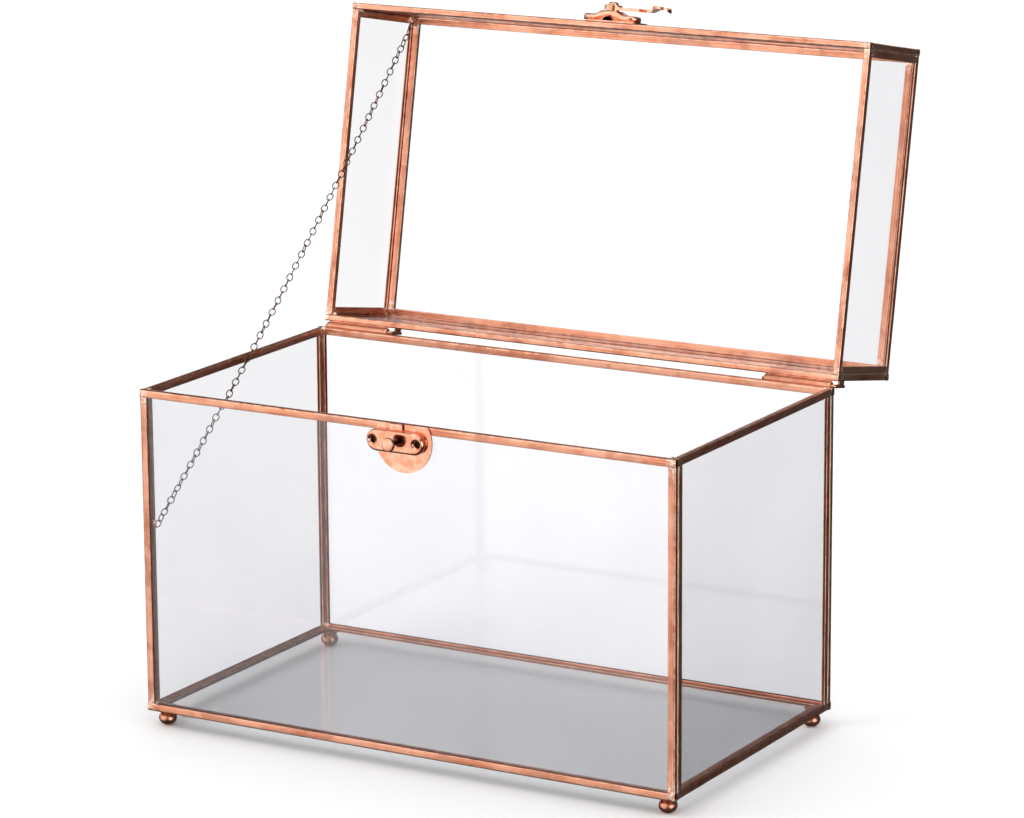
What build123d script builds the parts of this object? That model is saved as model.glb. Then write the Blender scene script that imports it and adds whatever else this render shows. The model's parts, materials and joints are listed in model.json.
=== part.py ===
"""Glass keepsake box for cards: flat glass panes in folded metal edging, a hinged glass lid held
open by a fine ring chain, a swing latch on the lid with its keeper on the front, and four ball feet.

Millimetres, +Z up. The box stands on z = 0 with its lid open against the chain. X runs along the
front, +Y points from the front to the hinges. The origin is midway along the width and midway
between the front of the knob and the back of the open lid, on the surface that the feet stand on.
"""
from build123d import *
import math
import os

# Overall sizes of the two glazed shells
box_width = 260.0
box_depth = 145.6
body_height = 144.0
lid_height = 52.3
lid_open_deg = 101.1
seat_gap = 0.2  # between the closed lid and the body

# Panes and their folded edging
glass_thickness = 2.0
edging_thickness = 3.0
edging_face = 3.4
edging_web = 0.6
glass_play = 0.06  # between a pane and the inside of its edging, on every side
edging_ease = 0.35  # rounding of the two long outer edges

# Feet
foot_height = 7.0
foot_radius = 4.6
foot_land_radius = 1.2
foot_inset = 6.3
foot_neck_radius = 2.85
foot_flare = 0.5  # how much wider the foot is where its ball ends and its collar starts

# Tube hinges along the back
hinge_tube_radius = 1.9
hinge_tube_length = 32.0
hinge_end_inset = 2.4
hinge_stand_off = 2.2  # axis behind the back face
hinge_drop = 0.3  # axis below the top of the body
rod_radius = 0.8
rod_play = 0.05
rod_end_gap = 0.5
rod_leg_length = 9.0
tube_seam_depth = 1.5
tube_seam_drop = 1.3  # middle of the tube's solder seam below its axis
rod_pad_start = 3.2  # how far up its leg the rod's solder begins
rod_pad_short = 0.2  # how far below the leg's end it stops

# Keeper on the body, latch on the lid
plate_length = 27.5
plate_width = 9.4
plate_rise = 2.8
sheet = 0.8
hole_spacing = 21.2
hole_radius = 1.6
countersink_radius = 2.4
countersink_depth = 0.6
arch_length = 11.5  # opening in the side of the raised plate
arch_height = 1.8
raised_length = 13.8
raised_ramp = 3.0
backplate_radius = 13.7
backplate_drop = 7.0  # centre of its disc below the top of the body
backplate_shift = 3.0  # its disc stands a little to the right of the fitting
backplate_thickness = 0.6
tab_width = 6.0
tab_height = 2.6
tab_thickness = 1.0
keeper_drop = 7.4  # knob below the top of the body
pivot_rise = 8.6  # latch pivot above the rim of the lid
knob_neck_radius = 1.3
knob_radius = 3.0
knob_head_height = 1.6
knob_play = 0.35  # between the head and the lever beneath it
bridge_rise = 4.6
rivet_radius = 1.2
rivet_head_radius = 2.2
rivet_head_height = 1.4
washer_radius = 2.7
washer_thickness = 0.3
pivot_play = 0.05
lever_hub_radius = 4.0
lever_hub_height = 2.15
lever_sheet = 1.3
lever_length = 28.6
lever_arm_width = 6.4
lever_waist_width = 5.0  # between the notch and the tab
lever_tab_radius = 4.3
lever_tab_thickness = 1.0
lever_bend_gap = 2.4  # between the notch's middle and the start of the curl
lever_curl = 1.5  # how far the curl rises
notch_play = 0.45

# Ring chain between the two shells
ring_radius = 1.55
wire_radius = 0.28
ring_play = 0.05  # least gap between two linked wires
chain_wall_gap = 0.12
chain_sag = 4.0
eye_height = 85.0  # lower eye above the bottom rim of the body
eye_inset = 3.4  # both eyes from the inside of the front edging
lid_eye_drop = 3.4  # upper eye below the edging of the roof
solder_dot = 0.95
lower_pairs = 16  # pairs of rings that swing down from the lower eye
run_pairs = 4  # pairs of rings that cross the bottom of the loop when the lid is shut

# Places that follow from those sizes
inner_x = box_width / 2 - edging_thickness
inner_y = box_depth / 2 - edging_thickness
body_top = foot_height + body_height
hinge_y = box_depth / 2 + hinge_stand_off
hinge_z = body_top - hinge_drop
lid_base = body_top + seat_gap
front_y = -box_depth / 2
chain_x = -inner_x + ring_radius + wire_radius + chain_wall_gap
hinge_line = Axis((0, hinge_y, hinge_z), (-1, 0, 0))
lever_base = backplate_thickness + bridge_rise + washer_thickness + 2 * pivot_play
knob_face_rise = lever_base + lever_sheet + knob_play + knob_head_height


def opened(shape):
    """A lid piece, drawn with the lid shut, turned to where the chain holds it."""
    return shape.rotate(hinge_line, lid_open_deg)


def opened_point(y, z):
    """Where a point of the shut lid lies once it is open, as (y, z)."""
    turn = math.radians(lid_open_deg)
    dy = y - hinge_y
    dz = z - hinge_z
    return (
        hinge_y + dy * math.cos(turn) + dz * math.sin(turn),
        hinge_z - dy * math.sin(turn) + dz * math.cos(turn),
    )


# The shift that puts the origin midway between the knob and the back of the open lid
front_reach = front_y - knob_face_rise
back_reach = opened_point(front_y, lid_base + lid_height)[0]
origin_y = (front_reach + back_reach) / 2


def strip(length, upright):
    """One folded edging strip in the XZ plane, centred, its groove opening towards +Z, or towards
    +X when it stands upright. The outer long edges are eased."""
    outer = Box(length, edging_thickness, edging_face)
    groove_width = glass_thickness + 2 * glass_play
    groove_depth = edging_face - edging_web
    groove = Pos(0, 0, edging_web / 2) * Box(length, groove_width, groove_depth)
    low_edges = outer.edges().filter_by(Axis.X).group_by(Axis.Z)[0]
    piece = fillet(low_edges, edging_ease) - groove
    return piece.rotate(Axis.Y, 90) if upright else piece


def edging(width, height):
    """Four strips round a pane of the given outer size, in the XZ plane and centred. The level
    strips run the whole width and the upright ones stand between them."""
    level = strip(width, False)
    standing = strip(height - 2 * edging_face, True)
    to_side = (width - edging_face) / 2
    to_end = (height - edging_face) / 2
    return [
        Pos(0, 0, -to_end) * level,
        Pos(0, 0, to_end) * level.rotate(Axis.Y, 180),
        Pos(-to_side, 0, 0) * standing,
        Pos(to_side, 0, 0) * standing.rotate(Axis.Y, 180),
    ]


def pane(width, height):
    """The glass inside an edging of the given outer size, its edges just clear of the web."""
    cover = 2 * (edging_web + glass_play)
    return Box(width - cover, glass_thickness, height - cover)


def shell_panels(base, height):
    """The five panels of an open-topped or open-bottomed shell that starts at base, as name,
    width, height and placement. Front and back run the full width, and the sides between them."""
    mid = base + height / 2
    side_width = 2 * inner_y
    offset_y = (box_depth - edging_thickness) / 2
    offset_x = (box_width - edging_thickness) / 2
    return {
        "front": (box_width, height, Pos(0, -offset_y, mid)),
        "rear": (box_width, height, Pos(0, offset_y, mid)),
        "left": (side_width, height, Pos(-offset_x, 0, mid) * Rot(0, 0, 90)),
        "right": (side_width, height, Pos(offset_x, 0, mid) * Rot(0, 0, 90)),
    }


def flat_panel(z):
    """The floor or the roof, which lies between the four walls with its middle at z."""
    return (2 * inner_x, 2 * inner_y, Pos(0, 0, z) * Rot(90, 0, 0))


def stadium(length, width, height):
    """A block with round ends, lying along X, its base at z = 0."""
    outline = SlotOverall(length, width)
    return extrude(outline, height)


def facing_front(shape, z):
    """A fitting drawn flat, with its top towards +Z, stood on the front face at height z."""
    return Pos(0, front_y, z) * (Rot(90, 0, 0) * shape)


def cut_disc(side):
    """The sheet that ties a fitting to the rail: a disc cut off level with the rim. Its rim is at
    y = 0, and it lies above that with side 1 and below with side -1."""
    disc = Pos(backplate_shift, side * backplate_drop) * Circle(backplate_radius)
    beyond = 2 * backplate_radius
    keep = Pos(backplate_shift, side * beyond / 2) * Rectangle(beyond, beyond)
    return extrude(disc & keep, backplate_thickness)


def stamped_plate(rise, side_arch):
    """An oval cup of thin sheet with its hollow towards the box, two countersunk holes, and a
    middle that may stand higher than its ends."""
    inner_width = plate_width - 2 * sheet
    cup = stadium(plate_length, plate_width, plate_rise)
    hollow = stadium(plate_length - 2 * sheet, inner_width, plate_rise - sheet)
    if rise > plate_rise:
        ramp = rise - plate_rise
        cup += raised_middle(raised_length, plate_width, plate_rise, ramp)
        hollow += raised_middle(raised_length - sheet, inner_width, plate_rise - sheet, ramp)
    cup -= hollow
    for side in (-1, 1):
        centre = Pos(side * hole_spacing / 2, 0, plate_rise)
        cup -= centre * Cylinder(hole_radius, 3 * sheet)
        sink = Cone(hole_radius, countersink_radius, countersink_depth)
        cup -= centre * Pos(0, 0, -countersink_depth / 2) * sink
    if side_arch:
        cup -= Pos(0, 0, arch_height / 2) * Box(arch_length, 2 * plate_width, arch_height)
    return Pos(0, 0, backplate_thickness) * cup


def raised_middle(length, width, base, rise):
    """A block that ramps up from base to base + rise at both ends, across the whole width."""
    half = length / 2
    shoulder = half - raised_ramp
    top = base + rise
    side = Polyline((-half, base), (-shoulder, top), (shoulder, top), (half, base), close=True)
    return extrude(Plane.XZ * make_face(side), width / 2, both=True)


def knob():
    """The keeper's knob: a neck through the stamped plate, with a broad eased head."""
    base = backplate_thickness + plate_rise
    head_base = knob_face_rise - knob_head_height
    neck_foot = base - sheet - 0.6
    neck = Pos(0, 0, neck_foot) * extrude(Circle(knob_neck_radius), head_base - neck_foot)
    head = Pos(0, 0, head_base) * extrude(Circle(knob_radius), knob_head_height)
    head = fillet(head.edges().filter_by(GeomType.CIRCLE), 0.5)
    flange = Pos(0, 0, neck_foot) * extrude(Circle(knob_neck_radius + 0.8), 0.6)
    return neck + head + flange


def plate_with_hole(plate, radius):
    """A stamped plate with the middle hole that its knob or rivet passes through."""
    return plate - Cylinder(radius, 40)


def keeper_backplate():
    """The cut disc below the front rail, with the short tab that laps the rail."""
    tab = extrude(Pos(0, -tab_height / 2) * Rectangle(tab_width, tab_height), tab_thickness)
    plate = cut_disc(-1) + Pos(0, 0, backplate_thickness) * tab
    return Pos(0, keeper_drop, 0) * plate


def lever():
    """The swing arm, pointing along +X from its pivot: a thick hub, a flat arm with a hook notch
    for the knob's neck, and a finger tab that curls away from the box at its end."""
    base = lever_base
    reach = pivot_rise + seat_gap + keeper_drop
    bend = reach + lever_bend_gap
    tip = lever_length
    high = base + lever_sheet
    tip_low = base + 0.3
    tip_high = tip_low + lever_tab_thickness
    crest = base + lever_curl
    lower = Spline(
        (bend, base), (bend + 3.2, crest), (tip - 2.6, crest + 0.2), (tip, tip_low),
        tangents=((1, 0), (0.5, -1)),
    )
    upper = Spline(
        (tip, tip_high), (tip - 2.8, crest + 1.4), (bend + 2.8, crest + 1.2), (bend, high),
        tangents=((-0.3, 1), (-1, 0)),
    )
    start = Polyline((bend, high), (0, high), (0, base), (bend, base))
    end = Line((tip, tip_low), (tip, tip_high))
    outline = Wire([*start.edges(), *lower.edges(), *end.edges(), *upper.edges()])
    arm = extrude(make_face(Plane.XZ * outline), lever_arm_width, both=True)
    plan = Pos(reach / 2, 0) * Rectangle(reach, lever_arm_width)
    tab_middle = tip - lever_tab_radius
    plan += Pos((reach + tab_middle) / 2, 0) * Rectangle(tab_middle - reach, lever_waist_width)
    plan += Pos(tab_middle, 0) * Circle(lever_tab_radius)
    plan += Pos(reach, 0) * Circle(lever_arm_width / 2)
    arm = arm & extrude(plan, 20)
    hub = Pos(0, 0, base) * extrude(Circle(lever_hub_radius), lever_hub_height)
    hub = fillet(hub.edges().group_by(Axis.Z)[-1], 0.4)
    notch_radius = knob_neck_radius + notch_play
    notch = Pos(reach, 0, 0) * Cylinder(notch_radius, 40)
    notch += Pos(reach, -5, 0) * Box(2 * notch_radius, 10, 40)
    return arm + hub - notch - Cylinder(rivet_radius + pivot_play, 40)


def rivet():
    """The pivot: a shank through the bridge, washer and hub, headed at both ends."""
    top = lever_base + lever_hub_height + pivot_play
    foot = backplate_thickness + bridge_rise - sheet - 0.8
    shank = Pos(0, 0, foot) * extrude(Circle(rivet_radius), top - foot)
    dome = Pos(0, 0, top) * extrude(Circle(rivet_head_radius), rivet_head_height)
    dome = fillet(dome.edges().group_by(Axis.Z)[-1], 1.1)
    tail = Pos(0, 0, foot) * extrude(Circle(1.5 * rivet_radius), 0.8 - 0.02)
    return shank + dome + tail


def washer():
    """The thin washer that keeps the lever off its bridge."""
    ring = extrude(Circle(washer_radius) - Circle(rivet_radius + pivot_play), washer_thickness)
    return Pos(0, 0, backplate_thickness + bridge_rise + pivot_play) * ring


def foot(x, y):
    """A turned foot: a flared collar, a ball and a small flat land that it stands on."""
    land = (foot_land_radius, 0)
    belly = (0.86 * foot_radius, 0.42 * foot_height)
    waist = (foot_neck_radius + foot_flare, 0.8 * foot_height)
    collar = (foot_neck_radius + 1.5 * foot_flare, 0.9 * foot_height)
    profile = [
        Line((0, 0), land),
        ThreePointArc(land, belly, waist),
        ThreePointArc(waist, collar, (foot_radius, foot_height)),
        Line((foot_radius, foot_height), (0, foot_height)),
        Line((0, foot_height), (0, 0)),
    ]
    outline = make_face(Plane.XZ * Wire([edge for line in profile for edge in line.edges()]))
    return Pos(x, y, 0) * revolve(outline, Axis.Z)


def hinge_tube(side):
    """A tube on the top rail of the back, with the seam of solder that holds it there."""
    centre_x = side * (box_width / 2 - hinge_end_inset - hinge_tube_length / 2)
    tube = Cylinder(hinge_tube_radius, hinge_tube_length).rotate(Axis.Y, 90)
    gap = hinge_stand_off
    seam = Pos(0, -gap / 2, -tube_seam_drop) * Box(hinge_tube_length - 3, gap, tube_seam_depth)
    tube = tube + seam - Cylinder(rod_radius + rod_play, 2 * hinge_tube_length).rotate(Axis.Y, 90)
    return Pos(centre_x, hinge_y, hinge_z) * tube


def hinge_rod(side):
    """The rod inside a tube. Both its ends turn up the back of the lid and are soldered there."""
    centre_x = side * (box_width / 2 - hinge_end_inset - hinge_tube_length / 2)
    leg_x = hinge_tube_length / 2 + rod_end_gap + rod_radius
    bend = 1.5 * rod_radius
    leg_end = rod_leg_length
    path = Polyline((-leg_x, 0, leg_end), (-leg_x, 0, 0), (leg_x, 0, 0), (leg_x, 0, leg_end))
    path = fillet(path.vertices().filter_by(lambda v: abs(v.Z) < 0.01), bend)
    start = Plane(origin=(-leg_x, 0, rod_leg_length), z_dir=(0, 0, -1))
    rod = sweep(start * Circle(rod_radius), path=path)
    pad_height = rod_leg_length - rod_pad_start - rod_pad_short
    for end in (-1, 1):
        pad = Box(2 * rod_radius, hinge_stand_off, pad_height)
        rod += Pos(end * leg_x, -hinge_stand_off / 2, rod_pad_start + pad_height / 2) * pad
    return Pos(centre_x, hinge_y, hinge_z) * rod


def chain_ends():
    """The two places where the chain turns on its eyes, as (y, z), with the lid open."""
    lower = (-inner_y + eye_inset, foot_height + eye_height)
    shut_upper = (-inner_y + eye_inset, lid_base + lid_height - edging_thickness - lid_eye_drop)
    return lower, opened_point(*shut_upper)


def chain_pivots():
    """The points (y, z) along the sagging chain where one ring turns on the next. A ring that
    stands across the chain spans two wire middles, and the ring that lies along it spans less by
    two wires and the play, so the play is what makes a whole number of rings fit."""
    (y0, z0), (y1, z1) = chain_ends()
    span = math.hypot(y1 - y0, z1 - z0)
    length = span + 8 * chain_sag**2 / (3 * span)
    long_step = 2 * ring_radius
    short_step = 2 * (ring_radius - 2 * wire_radius - ring_play)
    pairs = math.ceil((length - short_step) / (long_step + short_step))
    short_step = (length - pairs * long_step) / (pairs + 1)
    down = ((z1 - z0) / span, -(y1 - y0) / span)
    points = []
    travelled = 0.0
    for index in range(2 * pairs + 2):
        share = travelled / length
        hang = 4 * chain_sag * share * (1 - share)
        points.append((
            y0 + (y1 - y0) * share + down[0] * hang,
            z0 + (z1 - z0) * share + down[1] * hang,
        ))
        travelled += short_step if index % 2 == 0 else long_step
    return points


def ring_between(start, end, across):
    """A chain ring centred between two pivots, flat to the chain's plane or standing across it."""
    pitch = math.degrees(math.atan2(end[1] - start[1], end[0] - start[0]))
    ring = Torus(ring_radius, wire_radius)
    if not across:
        ring = ring.rotate(Axis.Y, 90)
    middle = Pos(chain_x, (start[0] + end[0]) / 2, (start[1] + end[1]) / 2)
    return middle * ring.rotate(Axis.X, pitch)


def chain_rings(points, first, last):
    """The rings of the chain from one pivot number to another."""
    return [
        ring_between(points[index], points[index + 1], across=index % 2 == 1)
        for index in range(first, last)
    ]


def eye(point, towards):
    """An end ring with the dot of solder that fixes it to the upright edging beside it. The ring
    reaches from its pivot away from the chain."""
    dy = point[0] - towards[0]
    dz = point[1] - towards[1]
    reach = 2 * ring_radius / math.hypot(dy, dz)
    far = (point[0] + dy * reach, point[1] + dz * reach)
    ring = ring_between(point, far, across=True)
    width = 2 * solder_dot
    dot = Sphere(solder_dot) & Pos(solder_dot, 0, 0) * Box(width, width, width)
    middle = Pos(-inner_x, (point[0] + far[0]) / 2, (point[1] + far[1]) / 2)
    return ring + middle * dot


parts = {}

for name, (width, height, place) in shell_panels(foot_height, body_height).items():
    parts[f"body_{name}_pane"] = [place * pane(width, height)]
    parts[f"body_{name}_edging"] = [place * piece for piece in edging(width, height)]
width, height, place = flat_panel(foot_height + edging_thickness / 2)
parts["body_floor_pane"] = [place * pane(width, height)]
parts["body_floor_edging"] = [place * piece for piece in edging(width, height)]

for name, (width, height, place) in shell_panels(lid_base, lid_height).items():
    parts[f"lid_{name}_pane"] = [opened(place * pane(width, height))]
    parts[f"lid_{name}_edging"] = [opened(place * piece) for piece in edging(width, height)]
width, height, place = flat_panel(lid_base + lid_height - edging_thickness / 2)
parts["lid_roof_pane"] = [opened(place * pane(width, height))]
parts["lid_roof_edging"] = [opened(place * piece) for piece in edging(width, height)]

for end, y_side in (("front", -1), ("rear", 1)):
    for hand, x_side in (("left", -1), ("right", 1)):
        foot_x = x_side * (box_width / 2 - foot_inset)
        foot_y = y_side * (box_depth / 2 - foot_inset)
        parts[f"foot_{end}_{hand}"] = [foot(foot_x, foot_y)]

for hand, x_side in (("left", -1), ("right", 1)):
    parts[f"hinge_tube_{hand}"] = [hinge_tube(x_side)]
    parts[f"hinge_rod_{hand}"] = [opened(hinge_rod(x_side))]

knob_z = body_top - keeper_drop
keeper_plate = plate_with_hole(stamped_plate(plate_rise, False), knob_neck_radius + 0.02)
parts["keeper_backplate"] = [facing_front(keeper_backplate(), knob_z)]
parts["keeper_plate"] = [facing_front(keeper_plate, knob_z)]
parts["keeper_knob"] = [facing_front(knob(), knob_z)]

pivot_z = lid_base + pivot_rise
latch_backplate = Pos(0, -pivot_rise, 0) * cut_disc(1)
latch_bridge = plate_with_hole(stamped_plate(bridge_rise, True), rivet_radius + 0.02)
for name, fitting in (
    ("latch_backplate", latch_backplate),
    ("latch_bridge", latch_bridge),
    ("latch_rivet", rivet()),
    ("latch_washer", washer()),
    ("latch_lever", lever()),
):
    parts[name] = [opened(facing_front(fitting, pivot_z))]

pivots = chain_pivots()
lower_end = 2 * lower_pairs
run_end = lower_end + 2 * run_pairs
parts["chain_eye_body"] = [eye(pivots[0], pivots[1])]
parts["chain_eye_lid"] = [eye(pivots[-1], pivots[-2])]
parts["chain_lower"] = chain_rings(pivots, 0, lower_end)
parts["chain_run"] = chain_rings(pivots, lower_end, run_end)
parts["chain_upper"] = chain_rings(pivots, run_end, len(pivots) - 1)

if __name__ == "__main__":
    os.makedirs("parts", exist_ok=True)
    for name, pieces in parts.items():
        solids = [solid for piece in pieces for solid in piece.solids()]
        centred = Pos(0, -origin_y, 0) * Compound(solids)
        export_step(centred, f"parts/{name}.step")
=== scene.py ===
import json
import math

import bmesh
import bpy
import numpy as np
from mathutils import Matrix, Vector

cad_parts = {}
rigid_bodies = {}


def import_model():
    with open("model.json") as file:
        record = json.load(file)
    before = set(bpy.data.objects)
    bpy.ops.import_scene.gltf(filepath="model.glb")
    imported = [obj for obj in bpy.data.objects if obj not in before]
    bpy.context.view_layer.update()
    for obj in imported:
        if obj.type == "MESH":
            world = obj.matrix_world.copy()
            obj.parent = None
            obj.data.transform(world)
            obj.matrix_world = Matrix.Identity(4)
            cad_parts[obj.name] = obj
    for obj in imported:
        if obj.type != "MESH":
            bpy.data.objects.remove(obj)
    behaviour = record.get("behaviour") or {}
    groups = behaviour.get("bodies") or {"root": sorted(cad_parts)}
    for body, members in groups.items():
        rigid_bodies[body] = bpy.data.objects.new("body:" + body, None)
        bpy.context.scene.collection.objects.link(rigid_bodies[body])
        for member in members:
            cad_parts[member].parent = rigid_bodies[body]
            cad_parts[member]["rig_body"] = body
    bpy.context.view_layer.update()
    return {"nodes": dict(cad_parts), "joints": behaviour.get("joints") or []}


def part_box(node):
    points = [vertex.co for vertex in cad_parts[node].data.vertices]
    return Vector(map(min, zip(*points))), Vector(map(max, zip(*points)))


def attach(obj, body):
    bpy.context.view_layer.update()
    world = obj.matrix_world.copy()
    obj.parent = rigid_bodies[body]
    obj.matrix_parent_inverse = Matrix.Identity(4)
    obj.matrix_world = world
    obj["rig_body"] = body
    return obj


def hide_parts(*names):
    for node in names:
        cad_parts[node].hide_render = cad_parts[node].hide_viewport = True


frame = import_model()
cadNodes = frame["nodes"]
joints = {joint["name"]: joint for joint in frame["joints"]}
toMetres = 0.001  # shapes below are worked out in millimetres
wallNames = ("front", "rear", "left", "right")


lidHinge = joints["lid_hinge"]
hingePlace = np.array(lidHinge["pos_m"]) / toMetres
openAngle = math.radians(-lidHinge["range_deg"][0])


def turnedAboutHinge(points, angle):
    # turns points about the hinge line, which runs along X; a positive angle opens the lid
    dy, dz = points[..., 1] - hingePlace[1], points[..., 2] - hingePlace[2]
    turned = points.copy()
    turned[..., 1] = hingePlace[1] + dy * math.cos(angle) + dz * math.sin(angle)
    turned[..., 2] = hingePlace[2] - dy * math.sin(angle) + dz * math.cos(angle)
    return turned


def shutBox(node):
    # lowest and highest corners of a node, in mm, with the lid turned shut
    mesh = cadNodes[node].data
    points = np.zeros(len(mesh.vertices) * 3)
    mesh.vertices.foreach_get("co", points)
    points = points.reshape(-1, 3) / toMetres
    if cadNodes[node]["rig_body"] in ("lid", "latch_lever"):
        points = turnedAboutHinge(points, -openAngle)
    return points.min(0), points.max(0)


camera = {"place": (0.9140, -1.5950, 0.5738), "yaw": -30.05, "pitch": -13.45, "roll": -0.36, "lens": 152.25}


def makeCamera():
    # a camera from its place, its yaw and pitch in degrees, and a small roll
    yaw, pitch, roll = (math.radians(camera[key]) for key in ("yaw", "pitch", "roll"))
    ahead = np.array((math.sin(yaw) * math.cos(pitch), math.cos(yaw) * math.cos(pitch), math.sin(pitch)))
    side = np.array((math.cos(yaw), -math.sin(yaw), 0.0))
    up = np.cross(side, ahead)
    right = side * math.cos(roll) + up * math.sin(roll)
    top = up * math.cos(roll) - side * math.sin(roll)
    turn = Matrix(np.column_stack((right, top, -ahead)).tolist()).to_4x4()
    data = bpy.data.cameras.new("camera")
    data.lens = camera["lens"]
    data.sensor_width = 36.0
    data.clip_start, data.clip_end = 0.05, 60.0
    item = bpy.data.objects.new("camera", data)
    item.matrix_world = Matrix.Translation(camera["place"]) @ turn
    bpy.context.scene.collection.objects.link(item)
    bpy.context.scene.camera = item


studio = {
    "surround": 1.04,  # brightness of the room for everything but reflections
    "shade": 0.06,  # what a reflection finds where there is no softbox
    # direction, cosine where its glow starts, cosine where it is full, brightness
    "frontBox": ((-0.50, -0.80, 0.25), 0.45, 1.00, 1.55),
    "sideBox": ((0.93, -0.36, 0.05), 0.86, 0.96, 2.60),
    "topBox": ((0.10, -0.25, 1.0), 0.60, 0.95, 1.60),
    "backBox": ((-0.15, 1.0, 0.25), 0.968, 0.992, 0.90),
    "leftBox": ((-0.98, 0.05, 0.30), 0.90, 0.98, 1.10),
    "lowBackBox": ((-0.49, 0.87, -0.12), 0.955, 0.992, 1.50),
    "rightBackBox": ((0.49, 0.84, -0.23), 0.90, 0.99, 0.08),
    "key": {"place": (-1.5, -2.2, 4.0), "size": 2.4, "power": 40.0},
    "floorTone": (0.98, 0.98, 0.985),
}


def makeStudio():
    # softboxes that only reflections see, an even surround for the rest, and one key lamp
    scene = bpy.context.scene
    scene.view_settings.view_transform = "Standard"
    world = bpy.data.worlds.new("studio")
    scene.world = world
    world.use_nodes = True
    tree = world.node_tree
    tree.nodes.clear()
    direction = tree.nodes.new("ShaderNodeTexCoord")
    total = None
    for aim, start, full, bright in (value for key, value in studio.items() if key.endswith("Box")):
        dot = tree.nodes.new("ShaderNodeVectorMath")
        dot.operation = "DOT_PRODUCT"
        dot.inputs[1].default_value = tuple(np.array(aim) / np.linalg.norm(aim))
        tree.links.new(direction.outputs["Generated"], dot.inputs[0])
        fade = tree.nodes.new("ShaderNodeMapRange")
        fade.interpolation_type = "SMOOTHSTEP"
        fade.inputs["From Min"].default_value = start
        fade.inputs["From Max"].default_value = full
        fade.inputs["To Max"].default_value = bright
        tree.links.new(dot.outputs["Value"], fade.inputs["Value"])
        add = tree.nodes.new("ShaderNodeMath")
        add.operation = "MAXIMUM"
        add.inputs[1].default_value = studio["shade"]
        tree.links.new(fade.outputs["Result"], add.inputs[0])
        if total is not None:
            tree.links.new(total.outputs[0], add.inputs[1])
        total = add
    path = tree.nodes.new("ShaderNodeLightPath")
    pick = tree.nodes.new("ShaderNodeMix")
    pick.inputs["A"].default_value = studio["surround"]
    tree.links.new(path.outputs["Glossy Depth"], pick.inputs["Factor"])
    tree.links.new(total.outputs[0], pick.inputs["B"])
    background = tree.nodes.new("ShaderNodeBackground")
    background.inputs["Color"].default_value = (1.0, 0.998, 1.0, 1.0)
    tree.links.new(pick.outputs["Result"], background.inputs["Strength"])
    out = tree.nodes.new("ShaderNodeOutputWorld")
    tree.links.new(background.outputs[0], out.inputs["Surface"])

    data = bpy.data.lights.new("softbox", "AREA")
    data.shape = "SQUARE"
    data.size = studio["key"]["size"]
    data.energy = studio["key"]["power"]
    lamp = bpy.data.objects.new("softbox", data)
    place = np.array(studio["key"]["place"])
    turn = Vector(-place).to_track_quat("-Z", "Y").to_matrix().to_4x4()
    lamp.matrix_world = Matrix.Translation(place) @ turn
    lamp.visible_glossy = False
    scene.collection.objects.link(lamp)



def newGroup(name, inputs, outputs):
    # an empty node group with its named sockets
    group = bpy.data.node_groups.new(name, "ShaderNodeTree")
    for label, kind, value in inputs:
        socket = group.interface.new_socket(label, in_out="INPUT", socket_type=kind)
        if value is not None:
            socket.default_value = value
    for label, kind in outputs:
        group.interface.new_socket(label, in_out="OUTPUT", socket_type=kind)
    start = group.nodes.new("NodeGroupInput")
    end = group.nodes.new("NodeGroupOutput")
    return group, start, end


def addNode(tree, kind, inputs=None, **settings):
    # a node with its settings, and its inputs either linked (a socket) or set (a value)
    node = tree.nodes.new(kind)
    for key, value in settings.items():
        setattr(node, key, value)
    for key, value in (inputs or {}).items():
        if isinstance(value, bpy.types.NodeSocket):
            tree.links.new(value, node.inputs[key])
        else:
            node.inputs[key].default_value = value
    return node


def mathValue(tree, kind, *values):
    # the result of one sum on sockets or values
    return addNode(tree, "ShaderNodeMath", dict(enumerate(values)), operation=kind).outputs[0]


def mixColours(tree, factor, first, second, blend="MIX"):
    # one colour over another by a factor; each may be a socket or a value
    node = addNode(tree, "ShaderNodeMix", data_type="RGBA", blend_type=blend)
    for index, value in ((0, factor), (6, first), (7, second)):
        if isinstance(value, bpy.types.NodeSocket):
            tree.links.new(value, node.inputs[index])
        else:
            node.inputs[index].default_value = value
    return node.outputs[2]


def mapValue(tree, value, low, high, outLow=0.0, outHigh=1.0, smooth=True):
    # a value stretched from one range to another, with an S curve where smooth
    node = addNode(
        tree,
        "ShaderNodeMapRange",
        {"Value": value, "From Min": low, "From Max": high, "To Min": outLow, "To Max": outHigh},
        interpolation_type="SMOOTHSTEP" if smooth else "LINEAR",
    )
    return node.outputs["Result"]


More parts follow.
